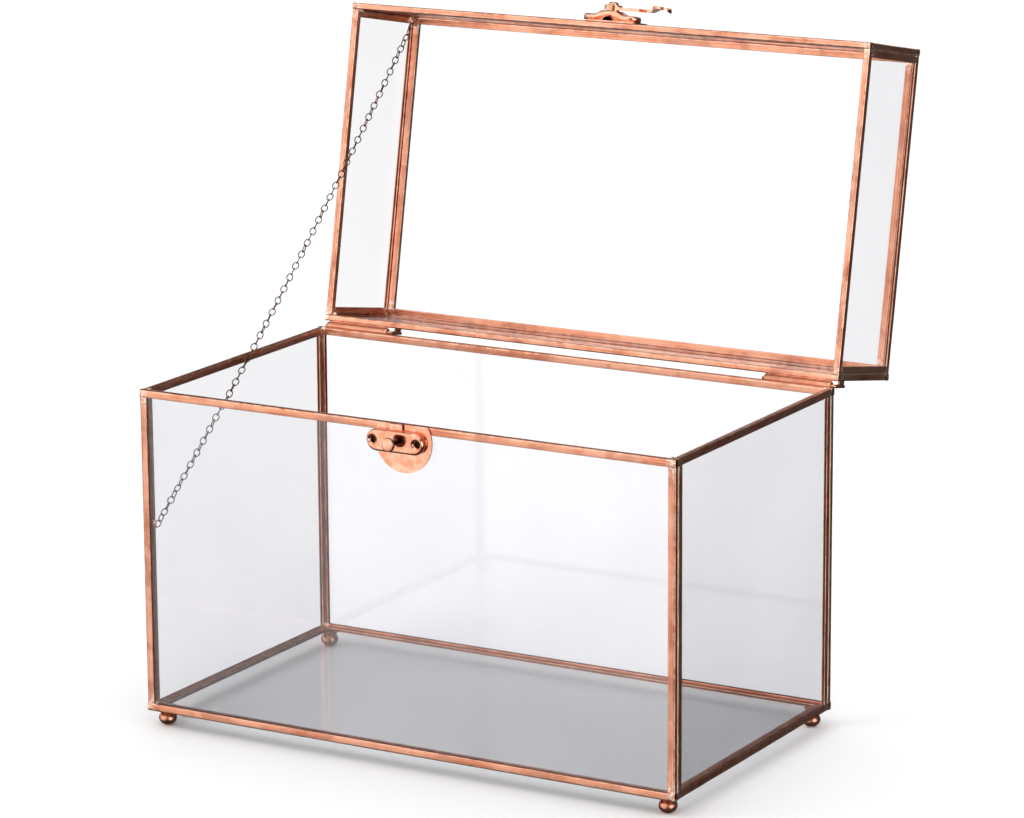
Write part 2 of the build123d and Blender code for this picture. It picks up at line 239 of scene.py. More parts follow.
def drawnGrainGroup():
    # long thin streaks along a strip's own length, and slow clouds between them
    group, start, end = newGroup(
        "drawnGrain",
        [
            ("Vector", "NodeSocketVector", None),
            ("Along", "NodeSocketFloat", 60.0),
            ("Across", "NodeSocketFloat", 3200.0),
            ("Cloud Size", "NodeSocketFloat", 140.0),
        ],
        [("Streak", "NodeSocketFloat"), ("Fine", "NodeSocketFloat"), ("Cloud", "NodeSocketFloat")],
    )
    sizes = {"X": start.outputs["Along"], "Y": start.outputs["Across"], "Z": 1.0}
    scale = addNode(group, "ShaderNodeCombineXYZ", sizes)
    place = start.outputs["Vector"]
    stretched = addNode(group, "ShaderNodeVectorMath", {0: place, 1: scale.outputs[0]}, operation="MULTIPLY")
    drawn = stretched.outputs[0]
    streak = addNode(group, "ShaderNodeTexNoise", {"Vector": drawn, "Scale": 1.0, "Detail": 3.0})
    fine = addNode(
        group, "ShaderNodeTexNoise", {"Vector": drawn, "Scale": 3.7, "Detail": 2.0, "Roughness": 0.6}
    )
    cloud = addNode(
        group,
        "ShaderNodeTexNoise",
        {"Vector": place, "Scale": start.outputs["Cloud Size"], "Detail": 4.0, "Roughness": 0.55},
    )
    group.links.new(mapValue(group, streak.outputs["Fac"], 0.34, 0.66), end.inputs["Streak"])
    group.links.new(mapValue(group, fine.outputs["Fac"], 0.3, 0.7), end.inputs["Fine"])
    group.links.new(mapValue(group, cloud.outputs["Fac"], 0.33, 0.67), end.inputs["Cloud"])
    return group


def edgeWearAndHighlightGroup():
    # bright rubbed metal along the ridges, broken up by a noise; on the folded strips this is partly real
    # rubbing and partly a painted highlight on their rounded edges
    group, start, end = newGroup(
        "edgeWearAndHighlight",
        [
            ("Ridge", "NodeSocketFloat", 0.0),
            ("Vector", "NodeSocketVector", None),
            ("Size", "NodeSocketFloat", 700.0),
            ("Amount", "NodeSocketFloat", 0.6),
        ],
        [("WornAndHighlight", "NodeSocketFloat")],
    )
    place, size = start.outputs["Vector"], start.outputs["Size"]
    noise = addNode(group, "ShaderNodeTexNoise", {"Vector": place, "Scale": size, "Detail": 3.0})
    broken = mapValue(group, noise.outputs["Fac"], 0.38, 0.62)
    wornAndHighlight = mathValue(group, "MULTIPLY", start.outputs["Ridge"], broken)
    group.links.new(mathValue(group, "MULTIPLY", wornAndHighlight, start.outputs["Amount"]), end.inputs["WornAndHighlight"])
    return group


def tarnishGroup():
    # patches of darker, browner metal where fingers and flux have dulled the plating
    group, start, end = newGroup(
        "tarnish",
        [
            ("Vector", "NodeSocketVector", None),
            ("Size", "NodeSocketFloat", 90.0),
            ("Cover", "NodeSocketFloat", 0.5),
        ],
        [("Patch", "NodeSocketFloat"), ("Speck", "NodeSocketFloat")],
    )
    patch = addNode(
        group,
        "ShaderNodeTexNoise",
        {"Vector": start.outputs["Vector"], "Scale": start.outputs["Size"], "Detail": 5.0, "Distortion": 0.6},
    )
    edge = mathValue(group, "SUBTRACT", 0.75, start.outputs["Cover"])
    far = mathValue(group, "ADD", edge, 0.16)
    cover = addNode(
        group,
        "ShaderNodeMapRange",
        {"Value": patch.outputs["Fac"], "From Min": edge, "From Max": far},
        interpolation_type="SMOOTHSTEP",
    )
    speck = addNode(
        group, "ShaderNodeTexVoronoi", {"Vector": start.outputs["Vector"], "Scale": 1500.0, "Randomness": 1.0}
    )
    group.links.new(cover.outputs["Result"], end.inputs["Patch"])
    group.links.new(mapValue(group, speck.outputs["Distance"], 0.06, 0.16, 1.0, 0.0), end.inputs["Speck"])
    return group


drawnGrain = drawnGrainGroup()
edgeWearAndHighlight = edgeWearAndHighlightGroup()
tarnish = tarnishGroup()


def placeGroup(tree, group, **values):
    # a shared group put into a material, with its inputs linked or set
    node = tree.nodes.new("ShaderNodeGroup")
    node.node_tree = group
    for key, value in values.items():
        name = key.replace("_", " ")
        if isinstance(value, bpy.types.NodeSocket):
            tree.links.new(value, node.inputs[name])
        else:
            node.inputs[name].default_value = value
    return node


copperTones = {
    "rose": (0.76, 0.315, 0.185, 1.0),
    "pale": (0.93, 0.520, 0.365, 1.0),
    "deep": (0.52, 0.170, 0.088, 1.0),
    "tarnished": (0.26, 0.090, 0.060, 1.0),
    "solder": (0.98, 0.76, 0.62, 1.0),
    "bronze": (0.060, 0.042, 0.040, 1.0),
    "bronzeRub": (0.46, 0.25, 0.17, 1.0),
    # near black: painted shade in the pits of the pressed plates and down the knob's side
    "hole": (0.020, 0.012, 0.010, 1.0),
}


def newMaterial(name):
    # a material with its node tree and its shader
    material = bpy.data.materials.new(name)
    material.use_nodes = True
    tree = material.node_tree
    shader = tree.nodes["Principled BSDF"]
    return material, tree, shader


def finishShader(tree, shader, colour, rough, height=None, bumpStrength=0.3, bumpDepth=0.0002):
    # colour, roughness and, where there is a height, bump into the shader
    tree.links.new(colour, shader.inputs["Base Color"])
    tree.links.new(rough, shader.inputs["Roughness"])
    if height is not None:
        bump = addNode(
            tree, "ShaderNodeBump", {"Height": height, "Strength": bumpStrength, "Distance": bumpDepth}
        )
        tree.links.new(bump.outputs[0], shader.inputs["Normal"])


def drawnCopper(name, roughLow=0.16, roughHigh=0.34, tarnishCover=0.26, bumpStrength=0.42):
    # folded strip: streaks along its length, paler clouds that are partly a painted sheen, rubbed ridges that
    # are partly a painted highlight on the rounded edges, pinker smears of solder at its ends
    material, tree, shader = newMaterial(name)
    along = addNode(tree, "ShaderNodeUVMap", uv_map="along").outputs["UV"]
    place = addNode(tree, "ShaderNodeTexCoord").outputs["Object"]
    ridge = addNode(tree, "ShaderNodeAttribute", attribute_name="ridge").outputs["Fac"]
    joint = addNode(tree, "ShaderNodeAttribute", attribute_name="joint").outputs["Fac"]
    grain = placeGroup(tree, drawnGrain, Vector=along, Along=22.0, Across=2400.0, Cloud_Size=38.0)
    wearAndHighlight = placeGroup(tree, edgeWearAndHighlight, Vector=place, Ridge=ridge, Size=260.0, Amount=0.75)
    dull = placeGroup(tree, tarnish, Vector=place, Size=75.0, Cover=tarnishCover)
    colour = mixColours(tree, grain.outputs["Streak"], copperTones["deep"], copperTones["rose"])
    # pale clouds: partly the plating's own uneven tone, partly a painted sheen that makes the whole strip
    # paler
    cloudAndSheen = mapValue(tree, grain.outputs["Cloud"], 0.0, 1.0, 0.0, 0.48)
    colour = mixColours(tree, cloudAndSheen, colour, copperTones["pale"])
    patch = mathValue(tree, "MULTIPLY", dull.outputs["Patch"], 0.30)
    colour = mixColours(tree, patch, colour, copperTones["tarnished"])
    # pale copper on the ridges: partly rubbed wear, partly a painted highlight on the rounded edges
    colour = mixColours(tree, wearAndHighlight.outputs["WornAndHighlight"], colour, copperTones["pale"])
    flow = addNode(tree, "ShaderNodeTexNoise", {"Vector": place, "Scale": 620.0, "Detail": 3.0})
    lumps = mapValue(tree, flow.outputs["Fac"], 0.4, 0.6)
    smear = mathValue(tree, "MULTIPLY", joint, lumps)
    colour = mixColours(tree, smear, colour, copperTones["solder"])
    rough = mapValue(tree, grain.outputs["Fine"], 0.0, 1.0, roughLow, roughHigh, smooth=False)
    rough = mathValue(tree, "MULTIPLY_ADD", patch, 0.25, rough)
    fineBump = mathValue(tree, "MULTIPLY", grain.outputs["Fine"], 0.25)
    height = mathValue(tree, "MULTIPLY_ADD", smear, 1.6, fineBump)
    finishShader(tree, shader, colour, rough, height, bumpStrength, 0.00012)
    shader.inputs["Metallic"].default_value = 1.0
    return material


def plainCopper(name, rough, grainSize, tarnishCover, mottle=0.5, solder=0.0, paintedPitShade=False):
    # plated fitting or solder: mottled in its own place, with fine specks; where asked, near black painted
    # shade in the pits and down the knob's side
    material, tree, shader = newMaterial(name)
    place = addNode(tree, "ShaderNodeTexCoord").outputs["Object"]
    noise = {"Vector": place, "Scale": grainSize, "Detail": 4.0, "Roughness": 0.6}
    cloud = addNode(tree, "ShaderNodeTexNoise", noise)
    tone = mapValue(tree, cloud.outputs["Fac"], 0.36, 0.64)
    dull = placeGroup(tree, tarnish, Vector=place, Size=0.5 * grainSize, Cover=tarnishCover)
    colour = mixColours(tree, tone, copperTones["rose"], copperTones["pale"])
    if solder:
        colour = mixColours(tree, solder, colour, copperTones["solder"])
    patch = mathValue(tree, "MULTIPLY", dull.outputs["Patch"], mottle)
    colour = mixColours(tree, patch, colour, copperTones["deep"])
    speck = mathValue(tree, "MULTIPLY", dull.outputs["Speck"], 0.35)
    colour = mixColours(tree, speck, colour, copperTones["tarnished"])
    # painted shade: near black in the keeper's and latch's pits and down the knob's side, through the joint
    # mask
    if paintedPitShade:
        pitAndShade = addNode(tree, "ShaderNodeAttribute", attribute_name="joint").outputs["Fac"]
        colour = mixColours(tree, pitAndShade, colour, copperTones["hole"])
    roughness = mapValue(tree, cloud.outputs["Fac"], 0.3, 0.7, rough[0], rough[1], smooth=False)
    finishShader(tree, shader, colour, roughness, cloud.outputs["Fac"], 0.35, 0.00015)
    shader.inputs["Metallic"].default_value = 1.0
    return material


def antiqueBronze(name):
    # chain wire: nearly black in the hollows, rubbed to copper on the outside of each ring
    material, tree, shader = newMaterial(name)
    place = addNode(tree, "ShaderNodeTexCoord").outputs["Object"]
    ridge = addNode(tree, "ShaderNodeAttribute", attribute_name="ridge").outputs["Fac"]
    wearAndHighlight = placeGroup(tree, edgeWearAndHighlight, Vector=place, Ridge=ridge, Size=420.0, Amount=0.55)
    dull = placeGroup(tree, tarnish, Vector=place, Size=380.0, Cover=0.4)
    colour = mixColours(tree, dull.outputs["Patch"], copperTones["tarnished"], copperTones["bronze"])
    colour = mixColours(tree, wearAndHighlight.outputs["WornAndHighlight"], colour, copperTones["bronzeRub"])
    rough = mapValue(tree, wearAndHighlight.outputs["WornAndHighlight"], 0.0, 1.0, 0.42, 0.24, smooth=False)
    finishShader(tree, shader, colour, rough, dull.outputs["Patch"], 0.2, 0.0001)
    shader.inputs["Metallic"].default_value = 1.0
    return material


glassValues = {
    # the body panes' tint is partly the glass's own and partly painted shade, darker than the lid's panes
    "body": ((0.936, 0.933, 0.946, 1.0), (0.902, 0.900, 0.918, 1.0)),  # clear, and where it is hazy
    "lid": ((0.985, 0.983, 0.990, 1.0), (0.968, 0.965, 0.976, 1.0)),
    "dust": (0.78, 0.80, 0.82, 1.0),
    "shadow": (0.93, 0.94, 0.945, 1.0),
    "ior": 1.5,
}


def clearGlass(name, shell):
    # float glass with a faint cloudiness and a few specks of dust; lamps shine through it
    material, tree, shader = newMaterial(name)
    place = addNode(tree, "ShaderNodeTexCoord").outputs["Object"]
    cloud = addNode(tree, "ShaderNodeTexNoise", {"Vector": place, "Scale": 14.0, "Detail": 4.0})
    dust = addNode(tree, "ShaderNodeTexVoronoi", {"Vector": place, "Scale": 130.0})
    haze = mapValue(tree, cloud.outputs["Fac"], 0.35, 0.7)
    colour = mixColours(tree, haze, *glassValues[shell])
    speck = mapValue(tree, dust.outputs["Distance"], 0.02, 0.045, 0.35, 0.0)
    colour = mixColours(tree, speck, colour, glassValues["dust"])
    tree.links.new(colour, shader.inputs["Base Color"])
    shader.inputs["Roughness"].default_value = 0.0
    shader.inputs["IOR"].default_value = glassValues["ior"]
    shader.inputs["Transmission Weight"].default_value = 1.0
    through = addNode(tree, "ShaderNodeBsdfTransparent", {"Color": glassValues["shadow"]})
    path = addNode(tree, "ShaderNodeLightPath")
    mix = addNode(tree, "ShaderNodeMixShader", {0: path.outputs["Is Shadow Ray"]})
    tree.links.new(shader.outputs[0], mix.inputs[1])
    tree.links.new(through.outputs[0], mix.inputs[2])
    tree.links.new(mix.outputs[0], tree.nodes["Material Output"].inputs["Surface"])
    return material


def floorPaper(name):
    # matt paper with faint clouds
    material, tree, shader = newMaterial(name)
    place = addNode(tree, "ShaderNodeTexCoord").outputs["Object"]
    cloud = addNode(tree, "ShaderNodeTexNoise", {"Vector": place, "Scale": 3.0, "Detail": 2.0})
    tone = studio["floorTone"]
    darker = tuple(0.985 * value for value in tone)
    colour = mixColours(tree, cloud.outputs["Fac"], (*tone, 1.0), (*darker, 1.0))
    tree.links.new(colour, shader.inputs["Base Color"])
    shader.inputs["Roughness"].default_value = 0.9
    shader.inputs["Specular IOR Level"].default_value = 0.1
    # reflections look past the sheet to the softboxes
    path = addNode(tree, "ShaderNodeLightPath")
    depth = {0: path.outputs["Glossy Depth"], 1: 0.0}
    reflected = addNode(tree, "ShaderNodeMath", depth, operation="ADD", use_clamp=True)
    through = addNode(tree, "ShaderNodeBsdfTransparent")
    mix = addNode(tree, "ShaderNodeMixShader", {0: reflected.outputs[0]})
    tree.links.new(shader.outputs[0], mix.inputs[1])
    tree.links.new(through.outputs[0], mix.inputs[2])
    tree.links.new(mix.outputs[0], tree.nodes["Material Output"].inputs["Surface"])
    return material


finishes = {
    "edging_copper": drawnCopper("edgingCopper"),
    "foot_copper": plainCopper("footCopper", (0.18, 0.40), 380.0, 0.42),
    "hinge_copper": drawnCopper("hingeCopper", 0.15, 0.30, 0.30, 0.2),
    "latch_copper": plainCopper("latchCopper", (0.10, 0.24), 260.0, 0.22, 0.3),
    "chain_bronze": antiqueBronze("chainBronze"),
    "body": clearGlass("clearGlass", "body"),
    "lid": clearGlass("lidGlass", "lid"),
    "stamped": plainCopper("stampedCopperPaintedShade", (0.10, 0.24), 260.0, 0.22, 0.3, paintedPitShade=True),
    "solder": plainCopper("solderCopper", (0.28, 0.46), 520.0, 0.16, 0.2, solder=0.9),
}
print("materials ready")



def gridFaces(rows, columns):
    # quads between neighbouring points of a grid stored row by row
    index = np.arange(rows * columns).reshape(rows, columns)
    corners = (index[:-1, :-1], index[:-1, 1:], index[1:, 1:], index[1:, :-1])
    return np.stack([corner.ravel() for corner in corners], axis=1)


def gridShell(points, along, around, ridge, joint=None, capped=False):
    # one surface: points is rows x columns x 3, with the same shape of values for its UV and masks
    rows, columns = points.shape[:2]
    faces = gridFaces(rows, columns).tolist()
    if capped:
        faces.append(list(range(columns - 1)))
        faces.append([(rows - 1) * columns + i for i in range(columns - 1)][::-1])
    spread = np.ones((rows, columns))
    return {
        "points": points.reshape(-1, 3),
        "faces": faces,
        "uv": np.stack([(spread * along).ravel(), (spread * around).ravel()], axis=1) * toMetres,
        "ridge": (spread * ridge).ravel(),
        "joint": (spread * (0.0 if joint is None else joint)).ravel(),
    }


def joinShells(shells):
    # several surfaces as one set of arrays
    offset = 0
    faces = []
    for shell in shells:
        faces += [[index + offset for index in face] for face in shell["faces"]]
        offset += len(shell["points"])
    keys = ("points", "uv", "ridge", "joint")
    merged = {key: np.concatenate([shell[key] for shell in shells]) for key in keys}
    merged["faces"] = faces
    return merged


def makePiece(name, shells, body, slot, replaced=(), finish=None, sharpAngle=50.0, weld=0.004):
    # a mesh object from surfaces: seams welded, faces turned outwards, riding on its body
    shape = joinShells(shells)
    mesh = bpy.data.meshes.new(name)
    mesh.from_pydata((shape["points"] * toMetres).tolist(), [], shape["faces"])
    corner = np.zeros(len(mesh.loops), dtype=np.int32)
    mesh.loops.foreach_get("vertex_index", corner)
    layer = mesh.uv_layers.new(name="along")
    layer.data.foreach_set("uv", shape["uv"][corner].ravel())
    for mask in ("ridge", "joint"):
        values = mesh.attributes.new(mask, "FLOAT", "POINT")
        values.data.foreach_set("value", shape[mask])
    work = bmesh.new()
    work.from_mesh(mesh)
    bmesh.ops.remove_doubles(work, verts=work.verts, dist=weld * toMetres)
    bmesh.ops.recalc_face_normals(work, faces=work.faces)
    work.to_mesh(mesh)
    work.free()
    mesh.polygons.foreach_set("use_smooth", np.ones(len(mesh.polygons), dtype=bool))
    mesh.set_sharp_from_angle(angle=math.radians(sharpAngle))
    piece = bpy.data.objects.new(name, mesh)
    bpy.context.scene.collection.objects.link(piece)
    mesh.materials.append(finishes[finish or slot])
    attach(piece, body)
    if replaced:
        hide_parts(*replaced)
    return piece


def slowWave(distance, seed, length):
    # three sines of unlike lengths added up, between 0 and 1: the unevenness of hand work
    phase = 1.7 * seed
    wave = np.sin(distance / length + phase) + 0.6 * np.sin(distance / (0.43 * length) + 2.3 * phase)
    wave = wave + 0.4 * np.sin(distance / (0.19 * length) + 0.7 * phase)
    return 0.5 + wave / 4.0


def carried(centres, radius, segments, seed=0.0, phase=0.0, closeEnds=True):
    # a round wire: a circle carried along a path, each circle square to the path there
    tangent = np.gradient(centres, axis=0)
    tangent /= np.linalg.norm(tangent, axis=1, keepdims=True)
    guide = np.array((0.0, 0.0, 1.0)) if abs(tangent[:, 2]).max() < 0.9 else np.array((0.0, 1.0, 0.0))
    first = np.cross(tangent, guide)
    first /= np.linalg.norm(first, axis=1, keepdims=True)
    second = np.cross(tangent, first)
    angle = np.linspace(0.0, 2 * np.pi, segments + 1)
    radii = np.broadcast_to(radius, (len(centres),))[:, None, None]
    ring = first[:, None] * np.cos(angle)[None, :, None] + second[:, None] * np.sin(angle)[None, :, None]
    points = centres[:, None] + radii * ring
    step = np.linalg.norm(np.diff(centres, axis=0), axis=1)
    distance = np.concatenate(([0.0], np.cumsum(step)))
    around = angle[None, :] * np.mean(radii)
    ridge = 0.5 + 0.5 * np.cos(angle + phase)[None, :]
    return gridShell(points, distance[:, None] + seed, around + seed, ridge, capped=closeEnds)


def turnedSurface(centre, axis, profile, segments=40, wobble=None):
    # a lathe shape: a profile of (radius, height) points carried round an axis through centre
    profile = np.array(profile, float)
    axis = np.array(axis, float)
    axis /= np.linalg.norm(axis)
    guide = np.array((1.0, 0.0, 0.0)) if abs(axis[0]) < 0.9 else np.array((0.0, 0.0, 1.0))
    first = np.cross(axis, guide)
    first /= np.linalg.norm(first)
    second = np.cross(axis, first)
    angle = np.linspace(0.0, 2 * np.pi, segments + 1)
    uneven = np.ones_like(angle)[None, :] if wobble is None else wobble(angle, profile[:, 1])
    radius = profile[:, 0][:, None] * uneven
    points = (
        np.array(centre, float)
        + radius[..., None] * (np.cos(angle)[None, :, None] * first + np.sin(angle)[None, :, None] * second)
        + profile[:, 1][:, None, None] * axis
    )
    step = np.linalg.norm(np.diff(profile, axis=0), axis=1)
    distance = np.concatenate(([0.0], np.cumsum(step)))
    return gridShell(points, distance[:, None], angle[None, :] * profile[:, 0].max(), 0.3)


def smoothCurve(knots, steps=8):
    # a Catmull-Rom curve through knots, steps points to a span
    knots = np.array(knots, float)
    padded = np.concatenate((2 * knots[:1] - knots[1:2], knots, 2 * knots[-1:] - knots[-2:-1]))
    share = np.linspace(0.0, 1.0, steps, endpoint=False)[None, :, None]
    a, b, c, d = (padded[i : len(padded) - 3 + i][:, None] for i in range(4))
    curve = 0.5 * (
        2 * b + (c - a) * share + (2 * a - 5 * b + 4 * c - d) * share**2 + (3 * b - a - 3 * c + d) * share**3
    )
    return np.concatenate((curve.reshape(-1, knots.shape[1]), knots[-1:]))


for name, node in cadNodes.items():
    if name.endswith("_pane"):
        node.data.materials.clear()
        node.data.materials.append(finishes[node["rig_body"]])


edging = {
    "face": 3.4,  # how far it laps the glass
    "web": 0.6,
    "grooveHalf": 1.06,
    "outerRound": 0.7,
    "lipRound": 0.2,
    "crown": 0.05,  # how far the flats fall away towards their edges
    "uneven": 0.09,
    "stationGap": 5.0,
    "jointReach": 2.6,
}


def stripProfile(thickness):
    # the folded section as (across, depth) points: two rounded outer corners, crowned flats, a
    # rolled lip each side and the groove that holds the glass; with how much of a ridge each is
    half, outer, lip = thickness / 2, edging["outerRound"], edging["lipRound"]
    face, groove, web = edging["face"], edging["grooveHalf"], edging["web"]
    crown = edging["crown"]
    quarter = np.linspace(0.0, np.pi / 2, 6)
    points, ridge = [], []

    def add(across, depth, value):
        points.append(np.stack(np.broadcast_arrays(across, depth), axis=-1).reshape(-1, 2))
        ridge.append(np.full(len(points[-1]), value))

    edgeHalf = half - crown
    flat = np.array((-0.7, -0.25, 0.25, 0.7))
    webHalf = half - crown - outer
    add(webHalf * flat, crown * flat**2, 0.15)
    add(webHalf + outer * np.sin(quarter), crown + outer - outer * np.cos(quarter), 1.0)
    middle = (outer + face) / 2
    run = np.linspace(outer + 0.25, face - lip - 0.2, 5)
    bulge = crown * (1 - ((run - middle) / (middle - outer)) ** 2)
    add(edgeHalf + bulge, run, 0.1)
    add(edgeHalf - lip + lip * np.cos(quarter), face - lip + lip * np.sin(quarter), 0.8)
    add(np.array((groove, groove)), np.array((face - 0.03, web)), 0.0)
    add(np.array((-groove, -groove)), np.array((web, face - 0.03)), 0.0)
    add(-edgeHalf + lip - lip * np.cos(quarter[::-1]), face - lip + lip * np.sin(quarter[::-1]), 0.8)
    add(-edgeHalf - bulge[::-1], run[::-1], 0.1)
    add(-webHalf - outer * np.sin(quarter[::-1]), crown + outer - outer * np.cos(quarter[::-1]), 1.0)
    return np.concatenate(points), np.concatenate(ridge)


def edgingStrip(low, high, along, inward, across, atLow, seed):
    # one strip: the folded section carried in a straight line along one axis of a panel's box
    profile, ridge = stripProfile(high[across] - low[across])
    profile = np.concatenate((profile, profile[:1]))
    ridge = np.concatenate((ridge, ridge[:1]))
    length = high[along] - low[along]
    stations = np.linspace(0.0, length, max(6, int(length / edging["stationGap"])))
    middle = (low[across] + high[across]) / 2
    uneven = edging["uneven"] * slowWave(stations, seed, 17.0)[:, None]
    sideways = profile[None, :, 0] * (1 - uneven / (high[across] - low[across]))
    depth = profile[None, :, 1] + uneven * 0.6 * (1 - profile[None, :, 1] / edging["face"])
    points = np.zeros((len(stations), len(profile), 3))
    points[..., along] = low[along] + stations[:, None]
    points[..., across] = middle + sideways
    points[..., inward] = low[inward] + depth if atLow else high[inward] - depth
    step = np.linalg.norm(np.diff(profile, axis=0), axis=1)
    around = np.concatenate(([0.0], np.cumsum(step)))[None, :]
    fromEnd = np.minimum(stations, length - stations)[:, None]
    joint = np.exp(-((fromEnd / edging["jointReach"]) ** 2))
    grainStart = stations[:, None] + 37.0 * seed  # so that no two strips show the same streaks
    return gridShell(points, grainStart, around + 11.0 * seed, ridge[None, :], joint, capped=True)


def panelAxes(name):
    # the panel's level, upright and thickness axes
    return {"front": (0, 2, 1), "rear": (0, 2, 1), "left": (1, 2, 0), "right": (1, 2, 0)}.get(name, (0, 1, 2))


def panelEdging(shell, name, seed):
    # two level strips the whole width of the panel and two upright ones between them
    low, high = shutBox(f"{shell}_{name}_edging")
    level, upright, thick = panelAxes(name)
    innerLow, innerHigh = low.copy(), high.copy()
    innerLow[upright] += edging["face"]
    innerHigh[upright] -= edging["face"]
    strips = []
    for count, atLow in enumerate((True, False)):
        strips.append(edgingStrip(low, high, level, upright, thick, atLow, seed + 0.3 * count))
        later = seed + 0.15 + 0.3 * count
        strips.append(edgingStrip(innerLow, innerHigh, upright, level, thick, atLow, later))
    return strips


def placed(shells, shell):
    # lid surfaces are worked out shut and turned open here
    if shell == "lid":
        for item in shells:
            item["points"] = turnedAboutHinge(item["points"], openAngle)
    return shells


for shellIndex, (shell, last) in enumerate((("body", "floor"), ("lid", "roof"))):
    for panelIndex, name in enumerate((*wallNames, last)):
        strips = panelEdging(shell, name, 1.0 + panelIndex + 6.0 * shellIndex)
        replaced = [f"{shell}_{name}_edging"]
        makePiece(f"{shell}_{name}_strips", placed(strips, shell), shell, "edging_copper", replaced)
print("edging folded")


solder = {"seamRadius": 0.48, "seamInset": 0.5, "fillet": 1.15, "lumps": 0.12}


def solderSeam(start, end, seed):
    # a thin bead in the groove where two strips meet: a circle of slowly changing size along a line
    length = np.linalg.norm(np.array(end) - np.array(start))
    share = np.linspace(0.0, 1.0, int(length / 1.6))[:, None]
    centres = np.array(start) * (1 - share) + np.array(end) * share
    radius = solder["seamRadius"] * (0.72 + 0.28 * slowWave(share[:, 0] * length, seed, 5.0))
    return carried(centres, radius, 8, seed)


def solderLump(centre, radii, seed, segments=18):
    # a drop of solder: a ball with its three half sizes, its surface raised by slow waves
    down = np.linspace(0.0, np.pi, segments // 2 + 1)[:, None]
    turn = np.linspace(0.0, 2 * np.pi, segments + 1)[None, :]
    waves = np.sin(2 * turn + seed) + 0.6 * np.cos(3 * turn - 2 * seed + 2 * down)
    swell = 1 + solder["lumps"] * np.sin(down) * waves
    ring = np.sin(down)
    unit = np.stack((ring * np.cos(turn), ring * np.sin(turn), np.cos(down) + 0 * turn), axis=-1)
    points = np.array(centre, float) + unit * swell[..., None] * np.array(radii, float)
    return gridShell(points, down * 3, turn * 3, 0.4)


def shellSolder(shell):
    # the upright grooves at the four corners and a drop inside each corner
    low, high = shutBox(f"{shell}_front_edging")
    rearLow = shutBox(f"{shell}_rear_edging")[0]
    inset = solder["seamInset"]
    shells = []
    for xIndex, x in enumerate((low[0] + inset, high[0] - inset)):
        for yIndex, y in enumerate((high[1], rearLow[1])):
            seed = 1.0 + xIndex + 2.3 * yIndex
            shells.append(solderSeam((x, y, low[2] + 0.6), (x, y, high[2] - 0.6), seed))
    side = shutBox(f"{shell}_left_edging")[1][0]
    drop = solder["fillet"]
    for xSign, x in ((1, side), (-1, -side)):
        for ySign, y in ((1, high[1]), (-1, rearLow[1])):
            for zSign, z in ((1, low[2] + 3.0), (-1, high[2] - 0.4)):
                seed = x * 0.1 + y * 0.2 + z * 0.3
                centre = (x + 0.1 * xSign, y + 0.1 * ySign, z - 0.3 * (zSign < 0))
                shells.append(solderLump(centre, (drop, drop, 0.9 * drop), seed))
    return placed(shells, shell)


for shell in ("body", "lid"):
    makePiece(f"{shell}_solder", shellSolder(shell), shell, "edging_copper", finish="solder")
print("corners soldered")


foot = {"height": 7.0, "ball": 3.95, "neck": 3.3, "skirt": 4.55, "land": 1.2}


def footShell(name, seed):
    # a ball on a flared skirt of solder, turned about its own upright axis; the skirt runs unevenly
    low, high = shutBox(name)
    centre = ((low[0] + high[0]) / 2, (low[1] + high[1]) / 2, low[2])
    height, ball = foot["height"], foot["ball"]
    turn = np.linspace(-0.5 * np.pi + 0.31, 0.30 * np.pi, 18)
    ballPart = np.stack((ball * np.cos(turn), 0.5 * height * 0.92 * np.sin(turn) + 0.46 * height), axis=1)
    neckZ = 0.83 * height
    knots = [ballPart[-1], (foot["neck"] - 0.05, neckZ), (foot["neck"] + 0.35, 0.9 * height)]
    knots += [(foot["skirt"] - 0.25, 0.965 * height), (foot["skirt"], height)]
    skirt = smoothCurve(knots, 6)
    profile = np.concatenate((((0.0, 0.0), (foot["land"], 0.0)), ballPart, skirt[1:], ((0.0, height),)))

    def wobble(angle, z):
        rim = np.clip((z[:, None] - neckZ) / (height - neckZ), 0.0, 1.0)
        waves = np.sin(3 * angle[None, :] + seed) * np.cos(angle[None, :] * 2 + seed)
        return 1 - 0.07 * rim * (0.5 + 0.5 * waves)

    return turnedSurface(centre, (0, 0, 1), profile, 48, wobble)


for index, end in enumerate(("front_left", "front_right", "rear_left", "rear_right")):
    ball = footShell(f"foot_{end}", 1.3 * index)
    makePiece(f"ball_foot_{end}", [ball], "body", "foot_copper", [f"foot_{end}"])
print("feet turned")


hinge = {"tubeRadius": 1.88, "bore": 0.86, "rod": 0.8, "legLength": 9.0, "bendRadius": 1.5, "endGap": 0.5}


def hingeTubeShells(hand):
    # a drawn tube with eased ends and its bore, and the run of solder between it and the rail
    low, high = shutBox(f"hinge_tube_{hand}")
    centreY, centreZ = hingePlace[1], hingePlace[2]
    length = high[0] - low[0]
    outer, bore, ease = hinge["tubeRadius"], hinge["bore"], 0.22
    section = [(bore, 0.0), (outer - ease, 0.0), (outer - 0.07, 0.07), (outer, ease)]
    section += [(outer, share * length) for share in np.linspace(0.04, 0.96, 24)]
    section += [(outer, length - ease), (outer - 0.07, length - 0.07), (outer - ease, length), (bore, length)]
    section += [(bore, 0.5 * length), (bore, 0.0)]
    tube = turnedSurface((low[0], centreY, centreZ), (1, 0, 0), section, 32)
    along = np.linspace(low[0] + 1.5, high[0] - 1.5, 30)
    half = np.stack((along, np.full_like(along, centreY - 1.15), np.full_like(along, centreZ - 1.25)), axis=1)
    radius = 0.75 + 0.15 * slowWave(along, 2.0, 3.0)
    return [tube, carried(half, radius, 14)]


